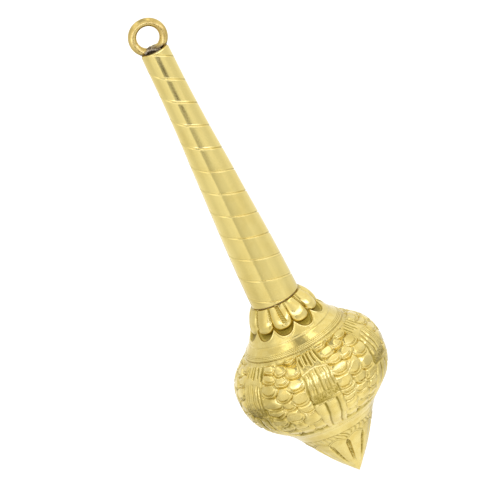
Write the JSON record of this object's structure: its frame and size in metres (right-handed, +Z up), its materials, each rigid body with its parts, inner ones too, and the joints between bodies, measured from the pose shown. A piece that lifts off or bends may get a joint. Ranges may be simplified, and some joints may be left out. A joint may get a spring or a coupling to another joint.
{
  "type": "ceremonial mace",
  "caption": "Small brass mace with a hanging ring, a tapering handle with a spiral groove, a petal collar, a hollow chased bulb and a faceted spike. The head unscrews from the handle.",
  "frame": {"origin": "centre of the hanging ring's eye", "axes": "+Z up along the mace's axis with the ring at the top and the spike pointing down, +Y through the ring's eye"},
  "size_m": [0.0766, 0.0772, 0.2544],
  "materials": {
    "ring_brass": "drawn bar, lightly buffed",
    "braze_metal": "dull lumpy braze with grey-brown flux stain",
    "polished_brass": "buffed bright",
    "inner_brass": "as turned, out of sight",
    "washer_fibre": "thin vulcanised fibre washer, dark",
    "fastener_steel": "bright zinc, out of sight",
    "chased_brass": "satin casting with chased scales, darker in the recesses",
    "smooth_brass": "turned and lightly buffed",
    "spike_brass": "satin casting with filed facets"
  },
  "bodies": {
    "handle": {"hanging_ring": "ring_brass", "ring_braze": "braze_metal", "handle_tube": "polished_brass", "foot_bush": "inner_brass"},
    "washer": {"joint_washer": "washer_fibre"},
    "head": {"neck_stud": "fastener_steel", "petal_collar": "chased_brass", "shoulder_flange": "smooth_brass", "stud_washer": "fastener_steel", "stud_nut": "fastener_steel", "bulb_upper_shell": "chased_brass", "bulb_lower_shell": "chased_brass", "seam_ring": "inner_brass", "tip_band": "smooth_brass", "tip_spike": "spike_brass", "tip_washer": "fastener_steel", "tip_nut": "fastener_steel"}
  },
  "joints": [
    {"name": "head_travel", "type": "slide", "parent": "handle", "child": "washer", "axis": [0, 0, -1], "range_m": [0, 0.0101]},
    {"name": "head_unscrew", "type": "hinge", "parent": "washer", "child": "head", "pos_m": [0, 0, -0.146], "axis": [0, 0, -1], "range_deg": [0, 2880]}
  ],
  "couplings": [
    {"joint": "head_travel", "follows": "head_unscrew", "m_per_rad": 0.00019894}
  ]
}
